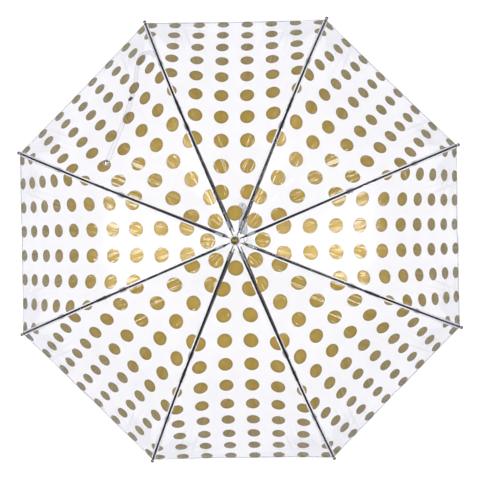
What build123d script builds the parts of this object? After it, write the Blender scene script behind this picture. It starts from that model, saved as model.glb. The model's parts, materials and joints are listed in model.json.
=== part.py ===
"""Clear bubble umbrella: eight curved ribs under a welded vinyl dome, a runner with eight stretchers,
a tube shaft with two spring catches, a ferrule spike and a crook handle. Millimetres, +Z up along the shaft,
origin at the middle of the handle's straight grip. It is drawn open."""

import os
from math import atan, atan2, cos, degrees, hypot, radians, sin, tan

from build123d import *

# ---------------------------------------------------------------- driving dimensions
RIBS = 8
STEP_ANGLE = 360 / RIBS
HALF_ANGLE = STEP_ANGLE / 2
FIRST_RIB = HALF_ANGLE  # azimuth of rib 1
FLARE = tan(radians(HALF_ANGLE))
RIDGE = 1 / cos(radians(HALF_ANGLE))  # how much further out a ridge lies than the middle of a panel

APEX_Z = 612.0  # where the film's inner face would meet the shaft's axis
# Middle of a panel, from the crown to the hem: (slope at start, slope at end, length), each run one arc.
PANEL_ARCS = ((18.5, 23.0, 175.0), (23.0, 53.0, 192.0), (53.0, 64.0, 160.0))
PANEL_LENGTH = sum(length for _, _, length in PANEL_ARCS)
FILM_START = 7.0
FILM_THICK = 0.3
FILM_GAP = 0.16  # each panel half stops this far from its ridge and its fold

RIB_GAP = 1.4  # from the film's inner ridge to the rib's back
RIB_WIDTH, RIB_DEPTH, RIB_WALL = 3.4, 3.0, 0.6
RIB_START, RIB_END = 19.0, PANEL_LENGTH + 6.0
PIVOT_AT = 10.6  # distance along the panel's middle at which the crown pivot lies
JOINT_AT = 247.0  # and the stretcher's rivet
EAR_DROP = 4.0  # rivet's centre below the rib's open side

BRACKET_THICK, BRACKET_LENGTH, BRACKET_GAP = 0.65, 28.0, 0.08
EAR_RADIUS, RIVET_HEAD_RADIUS, RIVET_HEAD_HEIGHT = 2.6, 1.8, 0.6

TAB_WIDTH, TAB_DEPTH = 1.8, 2.6
EYE_RADIUS, WIRE_RADIUS, EYE_CLEARANCE = 1.6, 0.6, 0.15
RIVET_RADIUS, RIVET_CLEARANCE = 1.0, 0.08
FOLD_ANGLE = 51.0  # how far a rib turns from open to closed

SHAFT_RADIUS, SHAFT_WALL = 5.0, 0.8
RING_RADIUS, SLOT_WIDTH, SLOT_FLOOR = 13.0, 2.6, 7.9
RUNNER_BORE, RUNNER_SLEEVE = 5.08, 7.4
RUNNER_ABOVE, RUNNER_BELOW = 4.0, 48.0  # sleeve's reach from its stretcher pivots
RING_HALF_HEIGHT = 3.5
GRIP_RING_RADIUS, GRIP_RING_HEIGHT = 10.5, 6.0
WINDOW_TOP, WINDOW_HEIGHT, WINDOW_WIDTH = 20.0, 14.0, 3.4
KEYWAY_WIDTH, KEYWAY_RADIUS = 3.0, 6.9  # groove in the runner's bore that rides over the catches

HANDLE_RADIUS, CROOK_RADIUS = 9.0, 33.0
GRIP_TOP, GRIP_BOTTOM, CROOK_END = 52.0, -53.0, -35.0
SHAFT_BOTTOM = -40.0
COLLAR_RADIUS, COLLAR_HEIGHT = 10.5, 10.0
WASHER_RADIUS = 11.0

CATCH_THICK, CATCH_LENGTH, CATCH_REACH = 2.0, 28.0, 1.6
CATCH_ROLL, CATCH_PIN = 1.4, 0.6  # rolled foot and its pin
CATCH_PIN_IN = 1.2  # how far the pin lies off the shaft's axis
CATCH_SLOT = 2.6

TIP_RADIUS, TIP_BALL, TIP_OUT = 2.0, 2.4, 18.0
FERRULE_COLLAR, FERRULE_RADIUS, FERRULE_HEIGHT = 6.8, 5.5, 38.0
PEG_LENGTH = 22.0

STRAP_WIDTH, STRAP_THICK, STRAP_LIFT = 8.0, 0.6, 0.45
# Strap's middle line in plan: x out along the middle of its panel, y sideways from it.
STRAP_ROUTE = (
    (322, -129), (336, -130), (347, -117), (338, -98), (313, -70), (288, -32), (266, 14), (247, 58)
)
SNAP_PLACES = ((298, -47), (247, 58))
SNAP_RADIUS, SNAP_HEIGHT = 5.0, 1.6


# ---------------------------------------------------------------- the dome's shape
def panel_point(along, inward=0.0, ridge=False):
    """(radius, height) of the film's inner face at a distance along the middle of a panel, or on its ridge,
    moved inward square to the surface. Beyond the hem the last slope carries straight on."""
    radius, drop, left, slope = 0.0, 0.0, along, radians(PANEL_ARCS[0][0])
    for start, end, length in PANEL_ARCS:
        run = min(left, length)
        a, rate = radians(start), radians(end - start) / length
        slope = a + rate * run
        radius += (sin(slope) - sin(a)) / rate
        drop += (cos(a) - cos(slope)) / rate
        left -= run
        if left <= 0:
            break
    radius, drop = radius + left * cos(slope), drop + left * sin(slope)
    if ridge:
        radius *= RIDGE
        slope = atan(tan(slope) / RIDGE)
    return radius - inward * sin(slope), APEX_Z - drop - inward * cos(slope)


def panel_curve(start, end, inward, ridge, points=13):
    """Points along the dome's profile, for a spline."""
    return [panel_point(start + (end - start) * i / (points - 1), inward, ridge) for i in range(points)]


RIB_MIDDLE = RIB_GAP + RIB_DEPTH / 2
CROWN_PIVOT = panel_point(PIVOT_AT, RIB_MIDDLE, True)
RIVET = panel_point(JOINT_AT, RIB_GAP + RIB_DEPTH + EAR_DROP, True)
PIVOT_RADIUS = CROWN_PIVOT[0]
# The stretcher is as long as the crown pivot is from the rivet, so the runner's pivot mirrors the crown's.
RUNNER_PIVOT = (PIVOT_RADIUS, 2 * RIVET[1] - CROWN_PIVOT[1])
LINK = hypot(RIVET[0] - PIVOT_RADIUS, RIVET[1] - CROWN_PIVOT[1])
OPEN_ANGLE = degrees(atan2(RIVET[0] - PIVOT_RADIUS, CROWN_PIVOT[1] - RIVET[1]))
CLOSED_ANGLE = OPEN_ANGLE - FOLD_ANGLE
TRAVEL = 2 * LINK * (cos(radians(CLOSED_ANGLE)) - cos(radians(OPEN_ANGLE)))
RUNNER_BOTTOM = RUNNER_PIVOT[1] - RUNNER_BELOW

parts = {}


def keep(part, label):
    """Labels a finished piece and keeps it for export."""
    part.label = label
    parts[label] = part


def keep_round(part, name, first=FIRST_RIB):
    """Keeps eight copies of a piece drawn in the XZ plane, one at each rib or panel."""
    for i in range(RIBS):
        keep(part.rotate(Axis.Z, first + STEP_ANGLE * i), f"{name}_{i + 1}")


def strip(start, end, inner, outer, ridge):
    """Face in the XZ plane between two offsets of the dome's profile."""
    with BuildSketch(Plane.XZ) as face:
        with BuildLine():
            near = Spline(*panel_curve(start, end, inner, ridge))
            far = Spline(*panel_curve(start, end, outer, ridge))
            Line(near @ 0, far @ 0)
            Line(near @ 1, far @ 1)
        make_face()
    return face.sketch


# ---------------------------------------------------------------- ribs, tips and their brackets
def make_rib():
    """A fluted steel rib: a channel open towards the shaft, its crown end pressed flat into an eye."""
    start_x, start_z = panel_point(RIB_START + 5, RIB_MIDDLE, True)
    reach = hypot(start_x - PIVOT_RADIUS, start_z - CROWN_PIVOT[1])
    lean = degrees(atan2(start_z - CROWN_PIVOT[1], start_x - PIVOT_RADIUS))
    with BuildPart() as rib:
        back = strip(RIB_START, RIB_END, RIB_GAP, RIB_GAP + RIB_DEPTH, True)
        extrude(back, amount=RIB_WIDTH / 2, both=True)
        flute = strip(RIB_START - 2, RIB_END + 2, RIB_GAP + RIB_WALL, RIB_GAP + RIB_DEPTH + 1, True)
        extrude(flute, amount=RIB_WIDTH / 2 - RIB_WALL, both=True, mode=Mode.SUBTRACT)
        with BuildSketch(Plane.XZ):
            with Locations(CROWN_PIVOT):
                Circle(EYE_RADIUS)
            with Locations(Location((*CROWN_PIVOT, 0), lean)):
                Rectangle(reach, TAB_DEPTH, align=(Align.MIN, Align.CENTER))
            with Locations(CROWN_PIVOT):
                Circle(WIRE_RADIUS + EYE_CLEARANCE, mode=Mode.SUBTRACT)
        extrude(amount=TAB_WIDTH / 2, both=True)
    return rib.part


def make_bracket():
    """The saddle that holds a stretcher: two ears joined under the rib, with the rivet as a second solid."""
    x, z = RIVET
    inner = RIB_WIDTH / 2 + BRACKET_GAP
    below = RIB_GAP + RIB_DEPTH
    low, high = JOINT_AT - BRACKET_LENGTH / 2, JOINT_AT + BRACKET_LENGTH / 2
    with BuildPart() as bracket:
        outside = strip(low, high, RIB_GAP + 1.2, below + 0.1 + RIB_WALL, True)
        extrude(outside, amount=inner + BRACKET_THICK, both=True)
        inside = strip(low - 1, high + 1, RIB_GAP - 1, below + 0.1, True)
        extrude(inside, amount=inner, both=True, mode=Mode.SUBTRACT)
        for side in (-1, 1):
            with BuildSketch(Plane.XZ.offset(side * (inner + BRACKET_THICK / 2))):
                with Locations(RIVET):
                    Circle(EAR_RADIUS)
                with BuildLine():
                    Polyline(
                        panel_point(JOINT_AT - 7, below - 1, True),
                        panel_point(JOINT_AT + 7, below - 1, True),
                        (x + 2.2, z - 1.3),
                        (x - 2.2, z - 1.3),
                        close=True,
                    )
                make_face()
                with Locations(RIVET):
                    Circle(RIVET_RADIUS + 0.02, mode=Mode.SUBTRACT)
            extrude(amount=BRACKET_THICK / 2, both=True)
    return Part(children=[bracket.part.solid(), make_rivet(inner + BRACKET_THICK)])


def make_rivet(reach):
    """Rivet through a bracket's ears, headed at both ends. reach is from its middle to an ear's outside."""
    with BuildPart() as rivet:
        with BuildSketch(Plane.XZ):
            with Locations(RIVET):
                Circle(RIVET_RADIUS)
        extrude(amount=reach + 0.05, both=True)
        for side in (-1, 1):
            with BuildSketch(Plane.XZ.offset(side * (reach + 0.05 + RIVET_HEAD_HEIGHT / 2))):
                with Locations(RIVET):
                    Circle(RIVET_HEAD_RADIUS)
            extrude(amount=RIVET_HEAD_HEIGHT / 2, both=True)
    return rivet.part.solid()


def make_tip():
    """Turned tip pressed over the rib's end: a sleeve with a ball."""
    x, z = panel_point(RIB_END + 0.3, RIB_MIDDLE, True)
    x2, z2 = panel_point(RIB_END + 10, RIB_MIDDLE, True)
    lean = atan2(x2 - x, z2 - z)
    axis = (sin(lean), 0, cos(lean))
    length = PANEL_LENGTH + TIP_OUT - RIB_END - TIP_BALL
    with BuildPart(Plane(origin=(x, 0, z), x_dir=(0, 1, 0), z_dir=axis)) as tip:
        Cone(TIP_RADIUS + 0.4, TIP_RADIUS - 0.5, length, align=(Align.CENTER, Align.CENTER, Align.MIN))
        with Locations((0, 0, length)):
            Sphere(TIP_BALL)
        fillet(tip.edges().group_by(Axis((x, 0, z), axis))[0], 0.5)
    return tip.part


# ---------------------------------------------------------------- stretchers
def make_stretcher():
    """A straight channel from the rivet to the runner. Its runner end is a hook open upward, so that it can
    leave the runner's wire; it is drawn along local X from the runner's pivot and then tilted into place."""
    channel_start, channel_end = 15.0, LINK - 10.0
    frame = Plane(
        origin=(RUNNER_PIVOT[0], 0, RUNNER_PIVOT[1]),
        x_dir=(sin(radians(OPEN_ANGLE)), 0, cos(radians(OPEN_ANGLE))),
        z_dir=(0, -1, 0),
    )
    with BuildPart() as stretcher:
        with BuildSketch(frame):
            with Locations(((channel_start + channel_end) / 2, 0)):
                Rectangle(channel_end - channel_start, RIB_DEPTH)
        extrude(amount=RIB_WIDTH / 2, both=True)
        with BuildSketch(frame):
            with Locations(((channel_start + channel_end) / 2, -RIB_WALL)):
                Rectangle(channel_end - channel_start + 4, RIB_DEPTH)
        extrude(amount=RIB_WIDTH / 2 - RIB_WALL, both=True, mode=Mode.SUBTRACT)
        with BuildSketch(frame):
            with BuildLine():
                hook = EYE_RADIUS
                Polyline(
                    (-hook, 0), (-0.75, 0), (0.4, -0.75), (6.5, -0.75), (12.0, 1.3), (18.0, 1.3),
                    (18.0, -1.3), (6.0, -hook), (0, -hook), (-1.2, -1.1), close=True,
                )
            make_face()
            Circle(WIRE_RADIUS + EYE_CLEARANCE, mode=Mode.SUBTRACT)
            with Locations(((channel_end - 5 + LINK) / 2, 0)):
                Rectangle(LINK - channel_end + 5, TAB_DEPTH)
            with Locations((LINK, 0)):
                Circle(2.1)
                Circle(RIVET_RADIUS + RIVET_CLEARANCE, mode=Mode.SUBTRACT)
        extrude(amount=TAB_WIDTH / 2, both=True)
    return stretcher.part


# ---------------------------------------------------------------- slotted rings of the crown and the runner
def slotted_ring(low, high, hub_low, hub_high, bore, hub_radius):
    """A hub with a ring round it, slotted for eight flat eyes and grooved for the wire that holds them."""
    with BuildPart() as ring:
        with BuildSketch(Plane.XY.offset(low)):
            Circle(RING_RADIUS)
        extrude(amount=high - low)
        with BuildSketch(Plane.XY.offset(hub_low)):
            Circle(hub_radius)
        extrude(amount=hub_high - hub_low)
        with BuildSketch(Plane.XY.offset(low)):
            with PolarLocations((SLOT_FLOOR + RING_RADIUS + 1) / 2, RIBS, start_angle=FIRST_RIB):
                Rectangle(RING_RADIUS + 1 - SLOT_FLOOR, SLOT_WIDTH)
        extrude(amount=high - low, mode=Mode.SUBTRACT)
        with BuildSketch(Plane.XY.offset(hub_low)):
            Circle(bore)
        extrude(amount=hub_high - hub_low, mode=Mode.SUBTRACT)
    return ring.part


def wire_ring(height):
    """The wire that the eyes turn on, a closed ring."""
    with BuildPart(Plane.XY.offset(height)) as wire:
        Torus(PIVOT_RADIUS, WIRE_RADIUS)
    return wire.part


def groove(ring, height):
    """Cuts the wire's groove out of a slotted ring."""
    with BuildPart() as grooved:
        add(ring)
        with Locations((0, 0, height)):
            Torus(PIVOT_RADIUS, WIRE_RADIUS + 0.05, mode=Mode.SUBTRACT)
    return grooved.part


def circles_of(part, radius):
    """The round edges of one radius."""
    return part.edges().filter_by(GeomType.CIRCLE).filter_by(lambda edge: abs(edge.radius - radius) < 0.01)


def make_runner():
    """The runner: slotted ring, sleeve, thumb ring and the window that the lower catch springs into."""
    z = RUNNER_PIVOT[1]
    low, high = z - RING_HALF_HEIGHT, z + RING_HALF_HEIGHT
    ring = slotted_ring(low, high, RUNNER_BOTTOM, z + RUNNER_ABOVE, RUNNER_BORE, RUNNER_SLEEVE)
    with BuildPart() as runner:
        add(groove(ring, z))
        with BuildSketch(Plane.XY.offset(RUNNER_BOTTOM)):
            Circle(GRIP_RING_RADIUS)
            Circle(RUNNER_BORE, mode=Mode.SUBTRACT)
        extrude(amount=GRIP_RING_HEIGHT)
        fillet(circles_of(runner, GRIP_RING_RADIUS), 1.2)
        with Locations((0, -RUNNER_SLEEVE, z - WINDOW_TOP - WINDOW_HEIGHT / 2)):
            Box(WINDOW_WIDTH, 2 * (RUNNER_SLEEVE - 4), WINDOW_HEIGHT, mode=Mode.SUBTRACT)
        with Locations((0, 0, RUNNER_BOTTOM)):
            Box(KEYWAY_WIDTH, KEYWAY_RADIUS, RUNNER_ABOVE + RUNNER_BELOW,
                align=(Align.CENTER, Align.MAX, Align.MIN), mode=Mode.SUBTRACT)
    return runner.part


# ---------------------------------------------------------------- shaft, catches, ferrule and handle
TOP_CATCH_Z = RUNNER_BOTTOM - 0.3  # shoulder that the open runner rests above
LOW_CATCH_Z = RUNNER_PIVOT[1] - TRAVEL - WINDOW_TOP - 0.4  # shoulder inside the closed runner's window


def make_shaft():
    """Steel tube with a slot and a cross pin for each catch."""
    with BuildPart() as shaft:
        with BuildSketch(Plane.XY.offset(SHAFT_BOTTOM)):
            Circle(SHAFT_RADIUS)
            Circle(SHAFT_RADIUS - SHAFT_WALL, mode=Mode.SUBTRACT)
        extrude(amount=APEX_Z - 1.5 - SHAFT_BOTTOM)
        for shoulder in (TOP_CATCH_Z, LOW_CATCH_Z):
            with Locations((0, -SHAFT_RADIUS, shoulder - CATCH_LENGTH / 2 + 3)):
                Box(CATCH_SLOT, SHAFT_RADIUS, CATCH_LENGTH + 2, mode=Mode.SUBTRACT)
            with Locations(Location((0, -CATCH_PIN_IN, shoulder - CATCH_LENGTH), (0, 90, 0))):
                Cylinder(CATCH_PIN, 2 * SHAFT_RADIUS - SHAFT_WALL)
    return shaft.part


def make_catch(shoulder):
    """A flat spring catch, rolled at its foot and sprung out of the shaft's slot below its shoulder."""
    foot = shoulder - CATCH_LENGTH
    out = -(SHAFT_RADIUS + CATCH_REACH)
    with BuildPart() as catch:
        with BuildSketch(Plane.YZ):
            with BuildLine():
                Polyline(
                    (-1.2, foot), (-1.8, foot), (-3.6, foot + 4), (out + 1.2, shoulder - 7),
                    (out, shoulder - 1.5), (out, shoulder), (-2.4, shoulder), (-2.4, foot + 4),
                    (-0.2, foot + 0.8), close=True,
                )
            make_face()
            with Locations((-CATCH_PIN_IN, foot)):
                Circle(CATCH_ROLL)
                Circle(CATCH_PIN + 0.05, mode=Mode.SUBTRACT)
        extrude(amount=CATCH_THICK / 2, both=True)
    return catch.part


def make_ferrule():
    """Spike at the top: a peg in the tube, a collar that clamps the canopy, a taper and a round end."""
    peg = SHAFT_RADIUS - SHAFT_WALL - 0.04
    foot, base, neck = APEX_Z - PEG_LENGTH, APEX_Z + 0.5, APEX_Z + 4.5
    top = APEX_Z + FERRULE_HEIGHT
    with BuildPart() as ferrule:
        with BuildSketch(Plane.XZ):
            with BuildLine():
                Polyline((0, foot), (peg, foot), (peg, base), (FERRULE_COLLAR, base), (FERRULE_COLLAR, neck),
                         (FERRULE_RADIUS, neck + 7.5), (FERRULE_RADIUS, top))
                RadiusArc((FERRULE_RADIUS, top), (0, top + FERRULE_RADIUS), -FERRULE_RADIUS)
                Line((0, top + FERRULE_RADIUS), (0, foot))
            make_face()
        revolve(axis=Axis.Z)
        fillet(circles_of(ferrule, FERRULE_COLLAR), 0.8)
    return ferrule.part


def make_washer():
    """Pale washer that presses the film down round the ferrule."""
    inner, outer = SHAFT_RADIUS + 0.1, WASHER_RADIUS
    inner_z, outer_z = [panel_point(r / RIDGE, -FILM_THICK, True)[1] + 0.4 for r in (inner, outer)]
    with BuildPart() as washer:
        with BuildSketch(Plane.XZ):
            with BuildLine():
                Polyline((inner, inner_z), (outer, outer_z), (outer, outer_z + 0.9), (inner, APEX_Z + 0.35),
                         close=True)
            make_face()
        revolve(axis=Axis.Z)
    return washer.part


def make_handle():
    """Crook handle, moulded round the shaft's foot."""
    with BuildPart() as handle:
        with BuildLine(Plane.YZ) as path:
            Line((0, GRIP_TOP), (0, GRIP_BOTTOM))
            RadiusArc((0, GRIP_BOTTOM), (2 * CROOK_RADIUS, GRIP_BOTTOM), -CROOK_RADIUS)
            Line((2 * CROOK_RADIUS, GRIP_BOTTOM), (2 * CROOK_RADIUS, CROOK_END))
        with BuildSketch(Plane.XY.offset(GRIP_TOP)):
            Circle(HANDLE_RADIUS)
        sweep(path=path.line)
        with Locations((0, 2 * CROOK_RADIUS, CROOK_END)):
            Sphere(HANDLE_RADIUS)
        with BuildSketch(Plane.XY.offset(SHAFT_BOTTOM - 0.5)):
            Circle(SHAFT_RADIUS + 0.05)
        extrude(amount=GRIP_TOP - SHAFT_BOTTOM + 0.5, mode=Mode.SUBTRACT)
    return handle.part


def make_collar():
    """Metal ring that caps the handle."""
    with BuildPart() as collar:
        with BuildSketch(Plane.XY.offset(GRIP_TOP)):
            Circle(COLLAR_RADIUS)
        extrude(amount=COLLAR_HEIGHT, taper=12)
        with BuildSketch(Plane.XY.offset(GRIP_TOP)):
            Circle(SHAFT_RADIUS + 0.05)
        extrude(amount=COLLAR_HEIGHT, mode=Mode.SUBTRACT)
        fillet(collar.faces().sort_by(Axis.Z)[-1].outer_wire().edges(), 1.0)
    return collar.part


# ---------------------------------------------------------------- canopy
def make_panel_half(side):
    """Half of one panel, from its fold in the XZ plane to its ridge: the profile drawn straight sideways
    and cut at the ridge's plane. side is +1 towards +Y."""
    reach = PANEL_LENGTH
    with BuildPart() as half:
        extrude(strip(FILM_START, PANEL_LENGTH, 0, -FILM_THICK, False), amount=reach * FLARE, both=True)
        with BuildSketch(Plane.XY):
            with BuildLine():
                Polyline((1, side * FILM_GAP), (reach, side * FILM_GAP),
                         (reach, side * (reach * FLARE - FILM_GAP * RIDGE)), (1, side * 0.2), close=True)
            make_face()
        extrude(amount=APEX_Z + 20, mode=Mode.INTERSECT)
    return half.part


def make_strap():
    """Closing strap: a narrow band from the seam beside rib 3 over panel 3, with two caps."""
    over = -FILM_THICK - STRAP_LIFT
    reach = max(abs(y) for _, y in STRAP_ROUTE) + STRAP_WIDTH
    start = min(x for x, _ in STRAP_ROUTE) - STRAP_WIDTH
    with BuildPart() as strap:
        extrude(strip(start, PANEL_LENGTH, over, over - STRAP_THICK, False), amount=reach, both=True)
        with BuildSketch(Plane.XY):
            with BuildLine() as line:
                Spline(*STRAP_ROUTE)
            trace(line.wire(), STRAP_WIDTH)
        extrude(amount=APEX_Z, mode=Mode.INTERSECT)
    return Part(children=[strap.part.solid(), *(snap_cap(x, y) for x, y in SNAP_PLACES)])


def snap_cap(x, y):
    """Cap of a press stud, standing square on the strap."""
    height, slope = surface_at(x)
    lift = FILM_THICK + STRAP_LIFT + STRAP_THICK + 0.05
    normal = (sin(slope), 0, cos(slope))
    with BuildPart(Plane(origin=(x + lift * normal[0], y, height + lift * normal[2]), z_dir=normal)) as cap:
        Cylinder(SNAP_RADIUS, SNAP_HEIGHT, align=(Align.CENTER, Align.CENTER, Align.MIN))
        fillet(cap.faces().sort_by(Axis((0, 0, 0), normal))[-1].outer_wire().edges(), 0.6)
    return cap.part.solid()


def surface_at(radius):
    """(height, slope) of the film's inner face at a radius on a panel's middle."""
    low, high = 0.0, PANEL_LENGTH
    for _ in range(40):
        middle = (low + high) / 2
        if panel_point(middle)[0] < radius:
            low = middle
        else:
            high = middle
    (x1, z1), (x2, z2) = panel_point(low), panel_point(low + 1)
    return z1, atan2(z1 - z2, x2 - x1)


# ---------------------------------------------------------------- build everything
keep_round(make_rib(), "rib")
keep_round(make_bracket(), "rib_bracket")
keep_round(make_tip(), "rib_tip")
keep_round(make_stretcher(), "stretcher")
keep_round(make_panel_half(-1), "panel_left", FIRST_RIB + HALF_ANGLE)
keep_round(make_panel_half(1), "panel_right", FIRST_RIB + HALF_ANGLE)

crown_low, crown_high = CROWN_PIVOT[1] - 4.4, CROWN_PIVOT[1] + 1.2
crown = slotted_ring(
    crown_low, crown_high, crown_low - 9, APEX_Z - 3.0, SHAFT_RADIUS + 0.02, SLOT_FLOOR - 0.2
)
keep(groove(crown, CROWN_PIVOT[1]), "crown_ring")
keep(wire_ring(CROWN_PIVOT[1]), "crown_wire")
keep(make_washer(), "canopy_washer")
keep(make_ferrule(), "ferrule")
keep(make_runner(), "runner")
keep(wire_ring(RUNNER_PIVOT[1]), "runner_wire")
keep(make_shaft(), "shaft")
keep(make_catch(TOP_CATCH_Z), "top_catch")
keep(make_catch(LOW_CATCH_Z), "lower_catch")
keep(make_handle(), "crook_handle")
keep(make_collar(), "handle_collar")
keep(make_strap().rotate(Axis.Z, FIRST_RIB + 2.5 * STEP_ANGLE), "tie_strap")

os.makedirs("parts", exist_ok=True)
for label, part in parts.items():
    export_step(part, f"parts/{label}.step")

print("crown pivot", CROWN_PIVOT, "rivet", RIVET, "runner pivot", RUNNER_PIVOT)
print("link", LINK, "open angle", OPEN_ANGLE, "travel", TRAVEL, "catch shoulders", TOP_CATCH_Z, LOW_CATCH_Z)
print("hem corner", panel_point(PANEL_LENGTH, 0, True), "hem middle", panel_point(PANEL_LENGTH))
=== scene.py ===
import json
from math import cos, exp, hypot, pi, radians, sin, sqrt, tan

import bmesh
import bpy
from mathutils import Matrix, Vector


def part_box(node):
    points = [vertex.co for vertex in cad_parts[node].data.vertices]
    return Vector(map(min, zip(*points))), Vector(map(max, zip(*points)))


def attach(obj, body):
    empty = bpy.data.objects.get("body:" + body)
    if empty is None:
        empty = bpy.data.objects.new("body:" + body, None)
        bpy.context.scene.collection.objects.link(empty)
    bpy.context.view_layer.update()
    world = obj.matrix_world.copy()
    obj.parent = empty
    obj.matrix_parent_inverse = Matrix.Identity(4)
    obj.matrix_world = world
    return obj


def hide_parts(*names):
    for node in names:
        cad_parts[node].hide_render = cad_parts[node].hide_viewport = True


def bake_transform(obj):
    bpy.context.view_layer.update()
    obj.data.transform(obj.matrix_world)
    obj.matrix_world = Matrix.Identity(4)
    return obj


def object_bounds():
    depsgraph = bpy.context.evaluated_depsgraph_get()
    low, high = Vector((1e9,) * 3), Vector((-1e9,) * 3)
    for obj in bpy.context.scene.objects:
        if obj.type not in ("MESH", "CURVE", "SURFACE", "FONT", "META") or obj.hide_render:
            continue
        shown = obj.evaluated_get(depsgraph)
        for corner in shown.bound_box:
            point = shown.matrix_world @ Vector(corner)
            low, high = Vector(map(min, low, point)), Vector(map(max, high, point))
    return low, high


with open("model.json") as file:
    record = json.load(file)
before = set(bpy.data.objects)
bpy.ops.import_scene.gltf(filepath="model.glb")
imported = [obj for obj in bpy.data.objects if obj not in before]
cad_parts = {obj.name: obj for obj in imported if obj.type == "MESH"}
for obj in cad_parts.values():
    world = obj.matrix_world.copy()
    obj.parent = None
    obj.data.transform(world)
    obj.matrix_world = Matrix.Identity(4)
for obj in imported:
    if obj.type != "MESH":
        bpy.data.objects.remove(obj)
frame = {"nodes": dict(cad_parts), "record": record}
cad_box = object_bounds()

# ---------------------------------------------------------------- the dome, in metres, as the CAD has it
RIBS = 8
STEP = radians(45)
HALF = STEP / 2
FLARE = tan(HALF)
APEX = 0.612
PANEL_ARCS = ((18.5, 23.0, 0.175), (23.0, 53.0, 0.192), (53.0, 64.0, 0.160))
PANEL_LENGTH = sum(length for _, _, length in PANEL_ARCS)
FILM_START = 0.0076
FILM_THICK = 0.0003

ROWS, COLUMNS = 90, 18  # cells along and across half a panel
FOLD_ROUND = 0.07  # share of a half panel that the fold's bend takes up
HEM_WIDTH, SEAM_WIDTH = 0.006, 0.0048
HEM_HOLLOW = 0.0025  # how far the hem's middle is drawn up
FILM_SAG = 0.008  # how far the film's middle is drawn in between two ribs
RIPPLE, PUCKER, BUCKLE = 0.00022, 0.0016, 0.0007  # heights of the wrinkles at welds, at corners and between
OFF_FOLD = 0.012  # distance from the fold over which ripples and puckers set in
WELD_FROM, WELD_SHORT = 0.012, 0.0004  # how far a weld stops from the film's inner end and from the hem
WELD_LOW, WELD_HIGH = 0.00006, 0.0003  # a weld's and a hem's faces, over the film
PRINT_BOW = 0.009  # how far the printed rows bend towards the hem beside the ribs
DOT_PITCH = 0.0434
DOT_RADIUS = 0.29 * DOT_PITCH
FIRST_DOT, SECOND_ROW, ROW_PITCH = 1.10 * DOT_PITCH, 1.925 * DOT_PITCH, 1.095 * DOT_PITCH
DOT_STRETCH = 1.07  # dots are a little longer towards the hem than they are wide
DOT_NARROW = 0.22  # share by which dots are narrower and closer together at the hem
SEAM_CLEAR = 0.0042  # the print stops this far from a seam


def profile(along):
    """(radius, height, slope) of the film's inner face at a distance along the middle of a panel."""
    radius, drop, left, slope = 0.0, 0.0, along, radians(PANEL_ARCS[0][0])
    for start, end, length in PANEL_ARCS:
        run = min(left, length)
        a, rate = radians(start), radians(end - start) / length
        slope = a + rate * run
        radius += (sin(slope) - sin(a)) / rate
        drop += (cos(a) - cos(slope)) / rate
        left -= run
        if left <= 0:
            break
    return radius, APEX - drop, slope


def along_at(radius):
    """Distance along a panel's middle at which it reaches a radius."""
    low, high = 0.0, PANEL_LENGTH
    for _ in range(40):
        middle = (low + high) / 2
        if profile(middle)[0] < radius:
            low = middle
        else:
            high = middle
    return low


def surface(azimuth, along, sideways, lift):
    """Point on the panel whose middle is at azimuth, sideways from that middle and lifted off its inner
    face."""
    r, z, slope = profile(along)
    x, y = r + lift * sin(slope), sideways
    turned = x * cos(azimuth) - y * sin(azimuth), x * sin(azimuth) + y * cos(azimuth)
    return Vector((*turned, z + lift * cos(slope)))


def under_ridge(azimuth, along):
    """Point on the ridge over a rib, and the directions square into the dome and along the rim."""
    r, z, slope = profile(along)
    r = r / cos(HALF)
    down = Vector((-sin(slope) * cos(azimuth), -sin(slope) * sin(azimuth), -cos(slope)))
    side = Vector((-sin(azimuth), cos(azimuth), 0))
    return Vector((r * cos(azimuth), r * sin(azimuth), z)), down, side


def hem_at(across):
    """Distance along a panel at which its film ends."""
    return PANEL_LENGTH - HEM_HOLLOW * (1 - across * across)


def sag(along, across):
    """How far the film lies inside a straight line from rib to rib."""
    return FILM_SAG * sin(pi * min(along / PANEL_LENGTH, 1.0)) * (1 - across * across)


def print_row(along, across):
    """Distance along the flat print of the row that lies at a place on the film."""
    return along - PRINT_BOW * across * across * sin(pi * min(along / PANEL_LENGTH, 1.0) ** 1.6)


def follow_share(across):
    """Share of the fold's motion that the film has, 0 at a rib and 1 at the middle of a panel, where it
    rounds the fold instead of creasing. across is 1 at the rib and 0 at the middle."""
    a = min(abs(across), 1.0)
    return 1 - (sqrt(a * a + FOLD_ROUND ** 2) - FOLD_ROUND) / (sqrt(1 + FOLD_ROUND ** 2) - FOLD_ROUND)


def wrinkle(panel, along, across):
    """Lift of the film: ripples drawn in along the welds, puckers fanning in from the hem's corners and a
    slow buckle over the middle, less the sag. All die out at the ribs, and the first two at the fold."""
    half = profile(along)[0] * FLARE
    from_seam = (1 - abs(across)) * half
    side = 1 if across > 0 else -1
    phase = panel * 1.7 + side * 0.9
    hold = 1 - exp(-from_seam / 0.004)
    off_fold = 1 - exp(-(across * half / OFF_FOLD) ** 2)
    wave = sin(2 * pi * along / 0.023 + phase + 2 * sin(along * 37 + phase))
    ripple = RIPPLE * off_fold * exp(-from_seam / 0.016) * wave
    corner_s = PANEL_LENGTH - along
    reach = hypot(corner_s, from_seam)
    bearing = from_seam / max(corner_s + from_seam, 1e-4)
    pucker = PUCKER * off_fold * exp(-reach / 0.055) * sin(9 * pi * bearing + phase) * min(1, reach / 0.012)
    buckle = BUCKLE * sin(along * 26 + phase * 2) * sin(across * pi * 1.5 + panel) * (1 - across * across)
    return hold * (ripple + pucker + buckle) - sag(along, across)


# ---------------------------------------------------------------- mesh helpers
def link(mesh, name):
    """New object from a mesh, in the scene."""
    obj = bpy.data.objects.new(name, mesh)
    bpy.context.scene.collection.objects.link(obj)
    return obj


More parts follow.
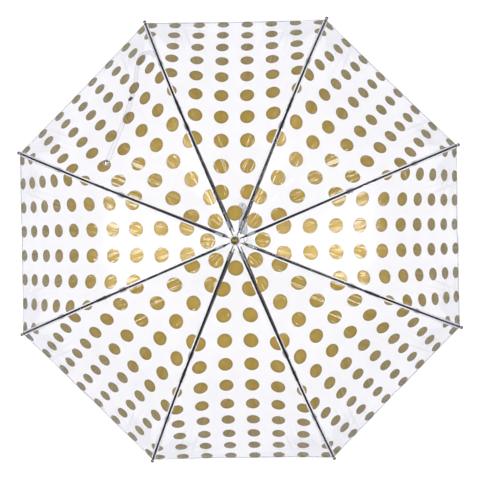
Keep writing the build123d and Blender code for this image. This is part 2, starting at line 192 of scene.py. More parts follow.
def shell(name, outer, inner, uv=None, edge_uv=None):
    """Closed thin sheet between two grids of points. uv and edge_uv are grids of pairs for two UV maps."""
    rows, columns = len(outer), len(outer[0])
    count = rows * columns
    verts = [p for row in outer for p in row] + [p for row in inner for p in row]

    def at(i, j, under=False):
        return i * columns + j + (count if under else 0)

    faces = []
    for i in range(rows - 1):
        for j in range(columns - 1):
            faces.append((at(i, j), at(i + 1, j), at(i + 1, j + 1), at(i, j + 1)))
            faces.append((at(i, j, 1), at(i, j + 1, 1), at(i + 1, j + 1, 1), at(i + 1, j, 1)))
    border = [(i, 0) for i in range(rows)] + [(rows - 1, j) for j in range(1, columns)]
    border += [(i, columns - 1) for i in range(rows - 2, -1, -1)]
    border += [(0, j) for j in range(columns - 2, 0, -1)]
    for a, b in zip(border, border[1:] + border[:1]):
        faces.append((at(*b), at(*a), at(*a, 1), at(*b, 1)))
    mesh = bpy.data.meshes.new(name)
    mesh.from_pydata(verts, [], faces)
    for title, grid in (("film", uv), ("edges", edge_uv)):
        if grid:
            pairs = [p for row in grid for p in row]
            layer = mesh.uv_layers.new(name=title)
            for loop in mesh.loops:
                layer.data[loop.index].uv = pairs[loop.vertex_index % count]
    bm = bmesh.new()
    bm.from_mesh(mesh)
    bmesh.ops.recalc_face_normals(bm, faces=bm.faces)
    bm.to_mesh(mesh)
    bm.free()
    mesh.shade_smooth()
    mesh.set_sharp_from_angle(angle=radians(35))
    return link(mesh, name)


def lathe(name, outline, place, segments=48):
    """Ring or cap turned from an outline of (radius, height), set down with a matrix."""
    bm = bmesh.new()
    verts = [bm.verts.new((r, 0, z)) for r, z in outline]
    edges = [bm.edges.new(pair) for pair in zip(verts, verts[1:])]
    bmesh.ops.spin(bm, geom=verts + edges, axis=(0, 0, 1), cent=(0, 0, 0), angle=2 * pi, steps=segments)
    bmesh.ops.remove_doubles(bm, verts=bm.verts, dist=1e-6)
    bmesh.ops.recalc_face_normals(bm, faces=bm.faces)
    mesh = bpy.data.meshes.new(name)
    bm.to_mesh(mesh)
    bm.free()
    mesh.transform(place)
    mesh.shade_smooth()
    mesh.set_sharp_from_angle(angle=radians(35))
    return link(mesh, name)


def bend_with(obj):
    """Bakes obj's transform into its mesh. It doesn't bend obj with the fold."""
    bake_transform(obj)


# ---------------------------------------------------------------- material helpers
class Nodes:
    """A material's node tree, with short calls to add and join nodes."""

    def __init__(self, name):
        self.material = bpy.data.materials.new(name)
        self.material.use_nodes = True
        self.tree = self.material.node_tree
        self.tree.nodes.clear()
        self.output = self.tree.nodes.new("ShaderNodeOutputMaterial")

    def add(self, kind, **values):
        """Adds a node. Values are attributes of the node, or sockets by name with _ for a space."""
        node = self.tree.nodes.new("ShaderNode" + kind)
        for key, value in values.items():
            if hasattr(node, key):
                setattr(node, key, value)
            else:
                self.put(node.inputs[key.replace("_", " ")], value)
        return node

    def put(self, socket, value):
        """Sets a socket, or joins another node's output to it."""
        if isinstance(value, bpy.types.NodeSocket):
            self.tree.links.new(value, socket)
        else:
            socket.default_value = value

    def math(self, operation, a, b=0.0, c=0.0):
        node = self.tree.nodes.new("ShaderNodeMath")
        node.operation = operation
        for socket, value in zip(node.inputs, (a, b, c)):
            self.put(socket, value)
        return node.outputs[0]

    def length(self, x, y):
        """Length of a flat vector."""
        return self.math("SQRT", self.math("ADD", self.math("POWER", x, 2.0), self.math("POWER", y, 2.0)))

    def noise(self, scale, detail=4.0, vector=None, distortion=0.0):
        node = self.add("TexNoise", Scale=scale, Detail=detail, Distortion=distortion)
        self.put(node.inputs["Vector"], vector or self.place())
        return node.outputs["Fac"]

    def place(self, stretch=None):
        """Rest position in metres, stretched where asked."""
        where = self.add("TexCoord").outputs["Object"]
        return self.add("Mapping", Vector=where, Scale=stretch).outputs[0] if stretch else where

    def ramp(self, value, *stops):
        """Colour ramp: stops are (position, colour)."""
        node = self.tree.nodes.new("ShaderNodeValToRGB")
        while len(node.color_ramp.elements) < len(stops):
            node.color_ramp.elements.new(0.5)
        for element, (position, colour) in zip(node.color_ramp.elements, stops):
            element.position, element.color = position, (*colour, 1)
        self.put(node.inputs[0], value)
        return node.outputs[0]

    def span(self, value, low, high, out_low=0.0, out_high=1.0, smooth=True):
        node = self.tree.nodes.new("ShaderNodeMapRange")
        node.interpolation_type = "SMOOTHSTEP" if smooth else "LINEAR"
        limits = ("From Min", low), ("From Max", high), ("To Min", out_low), ("To Max", out_high)
        for name, number in limits:
            self.put(node.inputs[name], number)
        self.put(node.inputs["Value"], value)
        return node.outputs[0]

    def bump(self, height, strength, distance=0.0002, normal=None):
        node = self.add("Bump", Strength=strength, Distance=distance, Height=height)
        if normal:
            self.put(node.inputs["Normal"], normal)
        return node.outputs[0]

    def done(self, shader):
        self.put(self.output.inputs["Surface"], shader)
        return self.material


def metal(name, dark, light, roughness, scale, bump=0.15, stretch=None, metallic=1.0, shine=0.5):
    """Metal or paint whose colour and roughness wander a little, with fine scratches."""
    n = Nodes(name)
    cloud = n.noise(scale, 5.0, n.place(stretch))
    fine = n.noise(scale * 11, 3.0, n.place(stretch))
    shader = n.add("BsdfPrincipled", Metallic=metallic)
    shader.inputs["Specular IOR Level"].default_value = shine
    n.put(shader.inputs["Base Color"], n.ramp(cloud, (0.3, dark), (0.7, light)))
    n.put(shader.inputs["Roughness"], n.span(cloud, 0.3, 0.7, roughness * 0.8, roughness * 1.25))
    n.put(shader.inputs["Normal"], n.bump(fine, bump, 0.0001))
    return n.done(shader.outputs[0])


def plastic(name, dark, light, roughness, scale=40.0, bump=0.08):
    """Moulded plastic with slight flow marks."""
    n = Nodes(name)
    flow = n.noise(scale, 4.0, n.place((1, 1, 0.3)), 0.6)
    grain = n.noise(900.0, 2.0)
    shader = n.add("BsdfPrincipled", IOR=1.5)
    n.put(shader.inputs["Base Color"], n.ramp(flow, (0.35, dark), (0.65, light)))
    n.put(shader.inputs["Roughness"], n.span(flow, 0.3, 0.7, roughness * 0.85, roughness * 1.2))
    n.put(shader.inputs["Normal"], n.bump(grain, bump, 0.00005))
    return n.done(shader.outputs[0])


def clear_acrylic():
    """Clear moulded acrylic of the handle, a little milky, with faint flow lines inside."""
    n = Nodes("handle_clear")
    flow = n.noise(60.0, 4.0, n.place((1, 1, 0.15)), 1.2)
    shader = n.add("BsdfPrincipled", IOR=1.45)
    shader.inputs["Transmission Weight"].default_value = 0.62
    n.put(shader.inputs["Base Color"], n.ramp(flow, (0.3, (0.70, 0.73, 0.77)), (0.75, (0.84, 0.86, 0.89))))
    n.put(shader.inputs["Roughness"], n.span(flow, 0.3, 0.75, 0.06, 0.16))
    n.put(shader.inputs["Normal"], n.bump(flow, 0.12, 0.0004))
    return n.done(shader.outputs[0])


FILM_TINT = (0.87, 0.867, 0.888)  # what a face of the vinyl lets through edge-on


def film_gloss(n, haze, gloss, normal, tint=FILM_TINT, crease=None):
    """Clear vinyl: mostly see-through, with a faint milky body and the shine of its surface, more so
    edge-on. tint is what it lets through edge-on, and crease is painted shade that darkens it a little more."""
    edge_on = n.add("LayerWeight", Blend=0.5, Normal=normal).outputs["Facing"]
    body = n.add("BsdfDiffuse", Normal=normal)
    body.inputs["Color"].default_value = (0.78, 0.78, 0.87, 1)
    through = n.add("BsdfTransparent")
    steep = n.math("POWER", edge_on, 2.0)
    # darkening edge-on, plus any painted shade passed in as crease
    edge_on_and_painted_shade = n.math("ADD", steep, crease) if crease else steep
    n.put(through.inputs["Color"], n.ramp(edge_on_and_painted_shade, (0.0, (0.996, 0.993, 1.0)), (0.6, tint)))
    shine = n.add("BsdfGlossy", Roughness=0.06, Normal=normal)
    shine.inputs["Color"].default_value = (0.95, 0.95, 1.0, 1)
    fresnel = n.math("ADD", n.math("MULTIPLY", n.math("POWER", edge_on, 5.0), 0.16), 0.003)
    hazy = n.add("MixShader", Fac=n.math("MULTIPLY", n.math("ADD", steep, 0.6), haze))
    n.put(hazy.inputs[1], through.outputs[0])
    n.put(hazy.inputs[2], body.outputs[0])
    clear = n.add("MixShader", Fac=n.math("MULTIPLY", fresnel, gloss))
    n.put(clear.inputs[1], hazy.outputs[0])
    n.put(clear.inputs[2], shine.outputs[0])
    return clear.outputs[0]


def film_relief(n):
    """Height of the vinyl's soft buckles and draw lines, for a bump."""
    where = n.add("UVMap", uv_map="film").outputs[0]
    slow = n.noise(16.0, 3.0, where, 0.8)
    lines = n.noise(1.0, 2.0, n.add("Mapping", Vector=where, Scale=(60.0, 10.0, 1.0)).outputs[0], 0.6)
    crease = n.span(n.math("ABSOLUTE", n.math("SUBTRACT", lines, 0.5)), 0.0, 0.05)
    return n.math("ADD", slow, n.math("MULTIPLY", crease, 0.35))


def dot_mask(n):
    """1 inside the printed dots and 0 on bare film, and how far the middle of the nearest dot is. Both come
    from the film's own flat coordinates."""
    split = n.add("SeparateXYZ", Vector=n.add("UVMap", uv_map="film").outputs[0])
    across, along = split.outputs[0], split.outputs[1]
    edge = n.add("SeparateXYZ", Vector=n.add("UVMap", uv_map="edges").outputs[0])
    column = n.math("DIVIDE", across, DOT_PITCH)
    dx = n.math("MULTIPLY", n.math("SUBTRACT", n.math("FRACT", n.math("ADD", column, 40.0)), 0.5), DOT_PITCH)
    outward = n.math("POWER", n.math("DIVIDE", along, PANEL_LENGTH), 2.0)
    dx = n.math("MULTIPLY", dx, n.math("ADD", 1.0, n.math("MULTIPLY", outward, DOT_NARROW)))
    row = n.math("DIVIDE", n.math("SUBTRACT", along, SECOND_ROW), ROW_PITCH)
    near = n.math("MAXIMUM", n.math("ROUND", row), 0.0)
    dy = n.math("MULTIPLY", n.math("SUBTRACT", row, near), ROW_PITCH / DOT_STRETCH)
    grid = n.length(dx, dy)
    first_y = n.math("DIVIDE", n.math("SUBTRACT", along, FIRST_DOT), DOT_STRETCH)
    first = n.length(across, first_y)
    away = n.math("MINIMUM", grid, first)
    round_edge = n.span(away, DOT_RADIUS - 0.00025, DOT_RADIUS + 0.00025, 1.0, 0.0)
    clear_edge = n.span(edge.outputs[0], SEAM_CLEAR - 0.0002, SEAM_CLEAR + 0.0002)
    return n.math("MULTIPLY", round_edge, clear_edge), away


def corner_folds(n, beside_rib):
    """How near a place is to the hem's corner at the rib tip, and the fine folds that fan out from that
    corner. beside_rib is the distances from the rib and from the hem."""
    split = n.add("SeparateXYZ", Vector=beside_rib)
    reach = n.length(*split.outputs[:2])
    bearing = n.math("DIVIDE", split.outputs[0], n.math("ADD", n.math("ADD", *split.outputs[:2]), 0.001))
    where = n.add("CombineXYZ", X=n.math("MULTIPLY", bearing, 15.0), Y=n.math("MULTIPLY", reach, 9.0))
    fan = n.span(n.noise(1.0, 2.0, where.outputs[0], 0.3), 0.42, 0.66, 0.0, 0.8)
    return n.span(reach, 0.012, 0.13, 1.0, 0.0), fan


FOIL_HEM_PAINTED_SHADE = (0.52, 0.56, 0.40, 1)  # the foil's colour is times this at the hem: painted shade standing in for the darker reflections the steep rim dots show


def dotted_film():
    """Clear vinyl printed with gold foil dots."""
    n = Nodes("film_gold_dots")
    relief = film_relief(n)
    normal = n.bump(relief, 0.35, 0.0011)
    mask, away = dot_mask(n)
    where = n.add("UVMap", uv_map="film").outputs[0]
    split = n.add("SeparateXYZ", Vector=where)
    off_fold, along = n.math("ABSOLUTE", split.outputs[0]), split.outputs[1]
    outward = n.span(along, 0.2, PANEL_LENGTH)
    beside_rib = n.add("UVMap", uv_map="edges").outputs[0]
    along_rib = n.add("Mapping", Vector=beside_rib, Scale=(125.0, 6.0, 1.0)).outputs[0]
    streaks = n.noise(1.0, 1.0, along_rib, 0.4)
    # painted shade: the see-through tint is darkened along drawn streaks in the open film, and near each hem
    # corner at the rib tip with a fan of fold lines
    open_film = n.math("MULTIPLY", outward, n.span(off_fold, 0.02, 0.07))
    crease = n.math("MULTIPLY", n.span(streaks, 0.55, 0.75, 0.0, 0.3), open_film)
    corner, fan = corner_folds(n, beside_rib)
    crease = n.math("ADD", crease, n.math("MULTIPLY", corner, n.math("ADD", fan, 0.2)))
    film = film_gloss(n, 0.004, 1.0, n.bump(relief, 0.16, 0.0006), crease=crease)
    mottle = n.noise(70.0, 5.0, where, 0.4)
    worn = n.noise(420.0, 4.0, where)
    foil = n.add("BsdfPrincipled", Metallic=0.06, Normal=normal)
    foil.inputs["Specular IOR Level"].default_value = 0.03
    gold = n.ramp(mottle, (0.3, (0.262, 0.178, 0.038)), (0.7, (0.335, 0.226, 0.050)))
    worn_edge = n.add("Mix", data_type="RGBA")
    n.put(worn_edge.inputs["Factor"], n.span(away, DOT_RADIUS * 0.55, DOT_RADIUS, 0.0, 0.6))
    n.put(worn_edge.inputs[6], gold)
    n.put(worn_edge.inputs[7], (0.20, 0.145, 0.036, 1))
    # painted shade: the foil is darkened more the further out towards the hem it lies
    painted_rim_shade = n.add("Mix", data_type="RGBA", blend_type="MULTIPLY")
    n.put(painted_rim_shade.inputs["Factor"], outward)
    n.put(painted_rim_shade.inputs[6], worn_edge.outputs[2])
    n.put(painted_rim_shade.inputs[7], FOIL_HEM_PAINTED_SHADE)
    n.put(foil.inputs["Base Color"], painted_rim_shade.outputs[2])
    n.put(foil.inputs["Roughness"], n.span(worn, 0.35, 0.65, 0.30, 0.42))
    foil.inputs["Coat Weight"].default_value = 0.66
    foil.inputs["Coat Roughness"].default_value = 0.06
    fade = n.math("MULTIPLY", n.span(off_fold, 0.0, 0.012), n.span(along, 0.05, 0.11))
    drawn = n.math("MULTIPLY", n.math("SUBTRACT", streaks, 0.5), fade)
    n.put(foil.inputs["Coat Normal"], n.bump(n.math("ADD", n.math("MULTIPLY", relief, 0.3), drawn), 1.0, 0.009))
    both = n.add("MixShader", Fac=mask)
    n.put(both.inputs[1], film)
    n.put(both.inputs[2], foil.outputs[0])
    return n.done(both.outputs[0])


def plain_film(name, haze, gloss, tint=FILM_TINT, pattern=None, edge=None):
    """Clear vinyl with no print: welds, hems, strap, tabs and discs. pattern is the spacing of a welded
    crosshatch, and edge is how far from its middle line a strap's cut edge begins; from there out, painted
    shade darkens the vinyl."""
    n = Nodes(name)
    height = n.noise(130.0, 3.0)
    if pattern:
        split = n.add("SeparateXYZ", Vector=n.add("UVMap", uv_map="film").outputs[0])
        waves = [n.math("SINE", n.math("MULTIPLY", n.math(kind, *split.outputs[:2]), 2 * pi / pattern))
                 for kind in ("ADD", "SUBTRACT")]
        height = n.math("ADD", height, n.math("MULTIPLY", n.math("MULTIPLY", *waves), 0.6))
    crease = None
    if edge:
        split = n.add("SeparateXYZ", Vector=n.add("UVMap", uv_map="film").outputs[0])
        # painted shade along the strap's cut edges
        crease = n.span(n.math("ABSOLUTE", split.outputs[0]), edge - 0.0004, edge, 0.0, 0.55)
    return n.done(film_gloss(n, haze, gloss, n.bump(height, 0.4, 0.0004), tint, crease))


def tip_plastic(ball_top):
    """Pale sleeve with a near-black ball end, told apart by height at rest."""
    n = Nodes("tip_two_tone")
    height = n.add("SeparateXYZ", Vector=n.place()).outputs[2]
    is_ball = n.span(height, ball_top - 0.0004, ball_top + 0.0004, 1.0, 0.0)
    cloud = n.noise(300.0, 3.0)
    pale = n.ramp(cloud, (0.3, (0.26, 0.255, 0.23)), (0.7, (0.42, 0.41, 0.38)))
    black = n.ramp(cloud, (0.3, (0.003, 0.003, 0.003)), (0.7, (0.01, 0.01, 0.01)))
    colour = n.add("Mix", data_type="RGBA")
    n.put(colour.inputs["Factor"], is_ball)
    n.put(colour.inputs[6], pale)
    n.put(colour.inputs[7], black)
    shader = n.add("BsdfPrincipled", IOR=1.35)
    n.put(shader.inputs["Base Color"], colour.outputs[2])
    n.put(shader.inputs["Roughness"], n.span(cloud, 0.3, 0.7, 0.28, 0.42))
    n.put(shader.inputs["Normal"], n.bump(cloud, 0.1, 0.00005))
    return n.done(shader.outputs[0])


def floor_paint():
    """Plain pale floor with barely visible unevenness."""
    n = Nodes("floor_pale")
    cloud = n.noise(3.0, 3.0)
    shader = n.add("BsdfPrincipled")
    n.put(shader.inputs["Base Color"], n.ramp(cloud, (0.3, (0.905, 0.905, 0.91)), (0.7, (0.925, 0.925, 0.925))))
    n.put(shader.inputs["Roughness"], n.span(cloud, 0.3, 0.7, 0.6, 0.7))
    return n.done(shader.outputs[0])


# ---------------------------------------------------------------- canopy
def half_panel(panel, side, material):
    """One half of a panel's film, from its rib to its fold. side is -1 towards the rib of the same number."""
    azimuth = panel * STEP
    outer, inner, flat, edges, shares = [], [], [], [], []
    for i in range(ROWS + 1):
        rows = [], [], [], [], []
        for j in range(COLUMNS + 1):
            across = side * (1 - j / COLUMNS)
            end = hem_at(across)
            along = FILM_START + (end - FILM_START) * i / ROWS
            half = profile(along)[0] * FLARE
            lift = wrinkle(panel, along, across)
            rows[0].append(surface(azimuth, along, across * half, lift + FILM_THICK))
            rows[1].append(surface(azimuth, along, across * half, lift))
            rows[2].append((across * half, print_row(along, across)))
            rows[3].append(((1 - abs(across)) * half, end - along))
            rows[4].append(follow_share(across))
        for grid, row in zip((outer, inner, flat, edges, shares), rows):
            grid.append(row)
    name = f"film_{'left' if side < 0 else 'right'}_{panel}"
    obj = shell(name, outer, inner, flat, edges)
    obj.data.materials.append(material)
    return obj, [w for row in shares for w in row] * 2


def band(name, panel, side, points, low, high, material):
    """Thin band lying on half a panel. points is a grid of (along, across)."""
    azimuth = panel * STEP
    outer, inner, flat, shares = [], [], [], []
    for row in points:
        lifts = [wrinkle(panel, s, a) + FILM_THICK for s, a in row]
        halves = [profile(s)[0] * FLARE for s, _ in row]
        outer.append([surface(azimuth, s, a * h, w + high) for (s, a), h, w in zip(row, halves, lifts)])
        inner.append([surface(azimuth, s, a * h, w + low) for (s, a), h, w in zip(row, halves, lifts)])
        flat.append([(a * h, s) for (s, a), h in zip(row, halves)])
        shares.append([follow_share(a) for _, a in row])
    obj = shell(name, outer, inner, flat, flat)
    obj.data.materials.append(material)
    return obj, [w for row in shares for w in row] * 2


def seam_points(side):
    """Grid along a rib, from the ridge to the weld's edge."""
    grid = []
    for i in range(ROWS + 1):
        along = FILM_START + WELD_FROM + (PANEL_LENGTH - WELD_SHORT - FILM_START - WELD_FROM) * i / ROWS
        half = profile(along)[0] * FLARE
        grid.append([(along, side * (1 - min(SEAM_WIDTH * j / 3 / half, 1))) for j in range(4)])
    return grid


def hem_points(side):
    """Grid along the hem, from the rib to the fold."""
    grid = []
    for j in range(COLUMNS * 2 + 1):
        across = side * (1 - j / COLUMNS / 2)
        grid.append([(hem_at(across) - HEM_WIDTH + HEM_WIDTH * i / 3, across) for i in range(4)])
    return grid


# ---------------------------------------------------------------- closing strap, tabs
STRAP_PANEL = 3
STRAP_WIDTH, STRAP_THICK, STRAP_LIFT = 0.008, 0.0006, 0.00075
STRAP_ROUTE = ((0.322, -0.129), (0.336, -0.130), (0.347, -0.117), (0.338, -0.098), (0.313, -0.070),
               (0.288, -0.032), (0.266, 0.014), (0.247, 0.058))
SNAPS = ((0.298, -0.047), (0.247, 0.058))
SNAP_RAISED = 0.0006  # the lower stud stands on the milky disc


def smooth_route(points, steps):
    """Catmull-Rom curve through points, as (point, direction) pairs."""
    pts = [Vector(p) for p in points]
    pts = [2 * pts[0] - pts[1]] + pts + [2 * pts[-1] - pts[-2]]
    found = []
    for i in range(1, len(pts) - 2):
        p0, p1, p2, p3 = pts[i - 1:i + 3]
        for k in range(steps + (i == len(pts) - 3)):
            t = k / steps
            place = 0.5 * (2 * p1 + (p2 - p0) * t + (2 * p0 - 5 * p1 + 4 * p2 - p3) * t * t
                           + (3 * p1 - p0 - 3 * p2 + p3) * t ** 3)
            way = 0.5 * ((p2 - p0) + 2 * (2 * p0 - 5 * p1 + 4 * p2 - p3) * t
                         + 3 * (3 * p1 - p0 - 3 * p2 + p3) * t * t)
            found.append((place, way.normalized()))
    return found


def strap_share(radius, sideways):
    """The strap follows the film on its own half of the panel, and stays with the fold past the middle."""
    return follow_share(sideways / (radius * FLARE)) if sideways < 0 else 1.0


def strap_row(place, way, width):
    """Points across the strap at one place, as (radius, sideways)."""
    normal = Vector((-way.y, way.x))
    return [place + normal * width * (k / 4 - 0.5) for k in range(5)]


def make_strap(material):
    """Narrow clear band over panel 3, round at its free end."""
    azimuth = STRAP_PANEL * STEP
    route = smooth_route(STRAP_ROUTE, 12)
    last, way = route[-1]
    cap = STRAP_WIDTH * 0.62
    stations = [(p, w, STRAP_WIDTH) for p, w in route]
    for k in range(1, 6):
        stations.append((last + way * cap * k / 5, way, STRAP_WIDTH * sqrt(max(1 - (k / 5) ** 2, 0.02))))
    outer, inner, flat, shares = [], [], [], []
    length = 0.0
    for n, (place, direction, width) in enumerate(stations):
        length += (place - stations[n - 1][0]).length if n else 0
        row = strap_row(place, direction, width)
        alongs = [along_at(p.x) for p in row]
        outer.append([surface(azimuth, s, p.y, STRAP_LIFT + STRAP_THICK) for s, p in zip(alongs, row)])
        inner.append([surface(azimuth, s, p.y, STRAP_LIFT) for s, p in zip(alongs, row)])
        flat.append([(width * (k / 4 - 0.5), length) for k in range(5)])
        shares.append([strap_share(p.x, p.y) for p in row])
    obj = shell("strap_band", outer, inner, flat, flat)
    obj.data.materials.append(material)
    return obj, [w for row in shares for w in row] * 2


def standing(azimuth, radius, sideways, lift):
    """Matrix that stands a piece square on the film."""
    along = along_at(radius)
    foot = surface(azimuth, along, sideways, lift)
    up = (surface(azimuth, along, sideways, lift + 0.01) - foot).normalized()
    return Matrix.Translation(foot) @ up.to_track_quat("Z", "Y").to_matrix().to_4x4()


def make_snap(name, radius, sideways, material, raised=0.0):
    """Cap of a press stud: domed, with a rolled rim."""
    outline = ((0, 0.0019), (0.0012, 0.0019), (0.0019, 0.0015), (0.0030, 0.00135), (0.0038, 0.0015),
               (0.0044, 0.0013), (0.0047, 0.0008), (0.0045, 0.0003), (0.0040, 0.0), (0, 0.0))
    lift = STRAP_LIFT + STRAP_THICK + raised
    obj = lathe(name, outline, standing(STRAP_PANEL * STEP, radius, sideways, lift))
    obj.data.materials.append(material)
    return obj, [strap_share(radius, sideways)] * len(obj.data.vertices)


TAB_AT = (0.205, 0.36)  # distances along a panel at which a clear tab ties the film to each rib
TAB_LENGTH, TAB_WIDE, TAB_DEEP = 0.014, 0.0056, 0.0076
TAB_TOP = 0.0008  # depth below the ridge at which a tab's ends are welded


def make_tab(name, azimuth, along, material):
    """Clear vinyl loop welded under a ridge, round the rib."""
    turns, steps = 20, 6
    outer, inner = [], []
    for i in range(steps + 1):
        s = along + TAB_LENGTH * (i / steps - 0.5)
        pinch = 0.86 + 0.14 * sin(pi * i / steps)
        top, down, side = under_ridge(azimuth, s)
        for grid, extra in ((outer, 0.0), (inner, -FILM_THICK)):
            row = []
            for k in range(turns + 1):
                a = pi * (k / turns)
                row.append(top + side * (TAB_WIDE * pinch + extra) * cos(a) * (0.35 + 0.65 * sin(a) ** 0.5)
                           + down * (TAB_TOP + (TAB_DEEP * pinch + extra - TAB_TOP) * sin(a) ** 0.8))
            grid.append(row)
    obj = shell(name, outer, inner)
    obj.data.materials.append(material)
    return obj


def make_tip_cap(name, azimuth, centre_radius, centre_z, material):
    """Black rubber bead pushed over a rib tip's ball, with a short lip towards the rib."""
    outline = ((0, 0.0029), (0.0012, 0.00275), (0.0022, 0.0021), (0.0029, 0.0010), (0.0030, 0.0),
               (0.0028, -0.0011), (0.0024, -0.0018), (0.0023, -0.0026), (0.0018, -0.0027), (0.0018, -0.0016),
               (0, -0.0016))
    slope = profile(PANEL_LENGTH)[2]
    out = Vector((cos(slope) * cos(azimuth), cos(slope) * sin(azimuth), -sin(slope)))
    centre = Vector((centre_radius * cos(azimuth), centre_radius * sin(azimuth), centre_z))
    place = Matrix.Translation(centre) @ out.to_track_quat("Z", "Y").to_matrix().to_4x4()
    obj = lathe(name, outline, place, 32)
    obj.data.materials.append(material)
    return obj


def make_snap_base(material):
    """Milky disc that reinforces the film under the lower press stud, with a raised rim."""
    radius, sideways = SNAPS[1]
    outline = ((0, 0.0006), (0.0051, 0.0006), (0.0056, 0.0010), (0.0064, 0.0011), (0.0069, 0.0007),
               (0.0070, 0.0), (0, 0))
    place = standing(STRAP_PANEL * STEP, radius, sideways, STRAP_LIFT + STRAP_THICK)
    obj = lathe("snap_base", outline, place)
    obj.data.materials.append(material)
    return obj, [strap_share(radius, sideways)] * len(obj.data.vertices)


ROOT_FROM, ROOT_TO = 0.0215, 0.034  # distances along a rib that its crimped root sleeve covers
ROOT_WIDE, ROOT_DEEP, ROOT_MIDDLE = 0.0022, 0.0020, 0.0029  # half width, half depth and depth below the ridge


def make_root(name, azimuth, material):
    """Crimped zinc sleeve on the root of a rib, pinched at both ends."""
    turns, steps = 28, 8
    rings = []
    for i in range(steps + 1):
        s = ROOT_FROM + (ROOT_TO - ROOT_FROM) * i / steps
        swell = 1.0 - 0.14 * abs(2 * i / steps - 1) ** 6
        top, down, side = under_ridge(azimuth, s)
        middle = top + down * ROOT_MIDDLE
        ring = []
        for k in range(turns):
            a = 2 * pi * k / turns
            x, y = (abs(v) ** 0.5 * (1 if v > 0 else -1) for v in (cos(a), sin(a)))
            ring.append(middle + side * ROOT_WIDE * swell * x + down * ROOT_DEEP * swell * y)
        rings.append(ring)
    inner = [[p.lerp(sum(ring, Vector()) / turns, 0.06) for p in ring] for ring in rings]
    obj = shell(name, [ring + ring[:1] for ring in rings], [ring + ring[:1] for ring in inner])
    obj.data.materials.append(material)
    return obj


# ---------------------------------------------------------------- build
FILM = dotted_film()
WELD = plain_film("film_weld", 0.004, 0.2, pattern=0.0016)
HEM = plain_film("film_hem", 0.05, 0.6, (0.74, 0.74, 0.77))
STRAP = plain_film("film_strap", 0.004, 1.0, (0.88, 0.88, 0.90), edge=0.0033)
TAB = plain_film("film_tab", 0.03, 1.0)
STRETCHER = metal("stretcher_grey", (0.05, 0.05, 0.053), (0.12, 0.12, 0.125), 0.36, 80.0,
                  metallic=0.3, shine=0.3)
ROOT = metal("root_zinc", (0.11, 0.125, 0.115), (0.19, 0.21, 0.195), 0.4, 260.0, metallic=0.4, shine=0.3)
SNAP_BRIGHT = metal("snap_nickel", (0.25, 0.245, 0.24), (0.42, 0.41, 0.40), 0.18, 400.0)
SNAP_BASE = plain_film("snap_base_milky", 0.22, 1.0)
TIP_BEAD = metal("tip_rubber", (0.002, 0.002, 0.002), (0.008, 0.008, 0.008), 0.5, 300.0,
                 metallic=0.0, shine=0.06)
SNAP = metal("snap_metal", (0.05, 0.048, 0.045), (0.13, 0.125, 0.115), 0.2, 400.0)

panel_area = sum(2 * profile(FILM_START + (PANEL_LENGTH - FILM_START) * (i + 0.5) / 200)[0] * FLARE
                 * (PANEL_LENGTH - FILM_START) / 200 for i in range(200)) / 2
widest = profile(PANEL_LENGTH)[0] * FLARE

for panel in range(1, RIBS + 1):
    for side, word in ((-1, "left"), (1, "right")):
        node = f"panel_{word}_{panel}"
        film, shares = half_panel(panel, side, FILM)
        bend_with(film)
        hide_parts(node)
        weld, shares = band(f"seam_weld_{word}_{panel}", panel, side, seam_points(side), WELD_LOW, WELD_HIGH,
                            WELD)
        bend_with(weld)
        hem, shares = band(f"hem_{word}_{panel}", panel, side, hem_points(side), WELD_LOW, WELD_HIGH, HEM)
        bend_with(hem)

strap, shares = make_strap(STRAP)
bend_with(strap)
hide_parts("tie_strap")
snaps = (make_snap("snap_stud", *SNAPS[0], SNAP), make_snap("snap_socket", *SNAPS[1], SNAP_BRIGHT, SNAP_RAISED),
         make_snap_base(SNAP_BASE))
for snap, shares in snaps:
    bend_with(snap)

tip_low, tip_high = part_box("rib_tip_1")
TIP_BALL = 0.0024  # radius of the CAD ball that the bead covers
TIP_SLEEVE = 0.0066  # height over the tip's lowest point at which its pale sleeve begins
ball_radius = (tip_high[0] - TIP_BALL) / cos(HALF)

for n in range(1, RIBS + 1):
    azimuth = HALF + (n - 1) * STEP
    bead = make_tip_cap(f"tip_bead_{n}", azimuth, ball_radius, tip_low[2] + TIP_BALL, TIP_BEAD)
    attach(bead, f"rib_{n}")
    for m, along in enumerate(TAB_AT):
        tab = make_tab(f"rib_tab_{n}_{m + 1}", azimuth, along, TAB)
        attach(tab, f"rib_{n}")
    root = make_root(f"rib_root_{n}", azimuth, ROOT)
    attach(root, f"rib_{n}")

# ---------------------------------------------------------------- materials of the CAD nodes
finishes = {
    "rib_steel": metal("rib_black", (0.004, 0.004, 0.005), (0.014, 0.014, 0.016), 0.42, 60.0,
                       metallic=0.0, shine=0.03),
    "bracket_steel": metal("bracket_grey", (0.13, 0.13, 0.135), (0.26, 0.26, 0.265), 0.3, 300.0,
                           metallic=0.6),
    "tip_plastic": tip_plastic(tip_low[2] + TIP_SLEEVE),
    "shaft_paint": plastic("shaft_white", (0.78, 0.78, 0.79), (0.86, 0.86, 0.87), 0.22, 25.0, 0.05),
    "handle_plastic": clear_acrylic(),
    "ferrule_gold": metal("ferrule_gold", (0.07, 0.052, 0.006), (0.12, 0.088, 0.014), 0.45, 90.0,
                          stretch=(1, 1, 12), metallic=0.45, shine=0.3),
    "fitting_plastic": plastic("fitting_white", (0.76, 0.76, 0.75), (0.84, 0.84, 0.83), 0.38),
    "washer_plastic": plain_film("washer_milky", 0.3, 1.0),
    "spring_steel": metal("wire_bright", (0.36, 0.36, 0.37), (0.56, 0.56, 0.57), 0.25, 200.0),
    "chrome_trim": metal("collar_chrome", (0.58, 0.58, 0.59), (0.72, 0.72, 0.73), 0.12, 120.0, 0.06),
}
slots = {entry["node"]: entry["material_slot"] for entry in frame["record"]["subparts"]}
for node, obj in frame["nodes"].items():
    if slots[node] in finishes:
        obj.data.materials.clear()
        obj.data.materials.append(STRETCHER if node.startswith("stretcher") else finishes[slots[node]])

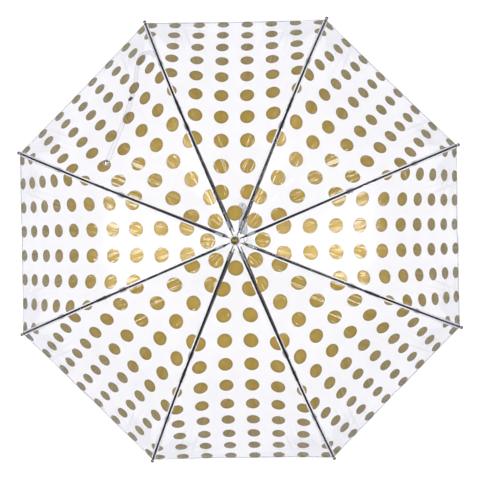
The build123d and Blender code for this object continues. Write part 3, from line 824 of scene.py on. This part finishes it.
# ---------------------------------------------------------------- floor, light, camera
FLOOR_Z = cad_box[0].z - 0.0005
bpy.ops.mesh.primitive_plane_add(size=16, location=(0, 0, FLOOR_Z))
floor = bpy.context.object
floor.name = "floor"
floor.data.materials.append(floor_paint())


def area_light(name, place, aim, size, power, diffuse=True):
    """Rectangular softbox that the camera doesn't see. One that isn't diffuse only shows in reflections."""
    data = bpy.data.lights.new(name, "AREA")
    data.shape, data.size, data.size_y = "RECTANGLE", *size
    data.energy = power
    obj = bpy.data.objects.new(name, data)
    bpy.context.scene.collection.objects.link(obj)
    obj.location = place
    obj.rotation_euler = (Vector(aim) - Vector(place)).to_track_quat("-Z", "Y").to_euler()
    obj.visible_camera = False
    obj.visible_diffuse = diffuse


area_light("overhead", (0, 0, 4.2), (0, 0, 0), (2.6, 2.6), 198)
for word, way in (("right", 1), ("left", -1)):
    area_light(f"softbox_{word}", (2.2 * way, 0.35, 1.75), (0.2 * way, 0.05, 0.45), (1.9, 1.4), 140,
               diffuse=False)

world = bpy.data.worlds.new("studio")
bpy.context.scene.world = world
world.use_nodes = True
background = world.node_tree.nodes["Background"]
background.inputs["Color"].default_value = (0.93, 0.935, 0.95, 1)
background.inputs["Strength"].default_value = 0.405

camera_data = bpy.data.cameras.new("camera")
camera = bpy.data.objects.new("camera", camera_data)
bpy.context.scene.collection.objects.link(camera)
bpy.context.scene.camera = camera
CAMERA_AT = Vector((0.0573, 0.0074, APEX + 2.34))
CAMERA_AIM = Vector((0.0046, 0.0004, APEX - 0.16))
CAMERA_ROLL = radians(1.0)
camera_data.sensor_width = 36
camera_data.lens = 109.7
camera_data.clip_start, camera_data.clip_end = 0.05, 60
back = (CAMERA_AT - CAMERA_AIM).normalized()
up = Vector((sin(CAMERA_ROLL), cos(CAMERA_ROLL), 0))
right = up.cross(back).normalized()
up = back.cross(right)
camera.matrix_world = Matrix.Translation(CAMERA_AT) @ Matrix((right, up, back)).transposed().to_4x4()
bpy.context.scene.view_settings.view_transform = "Standard"
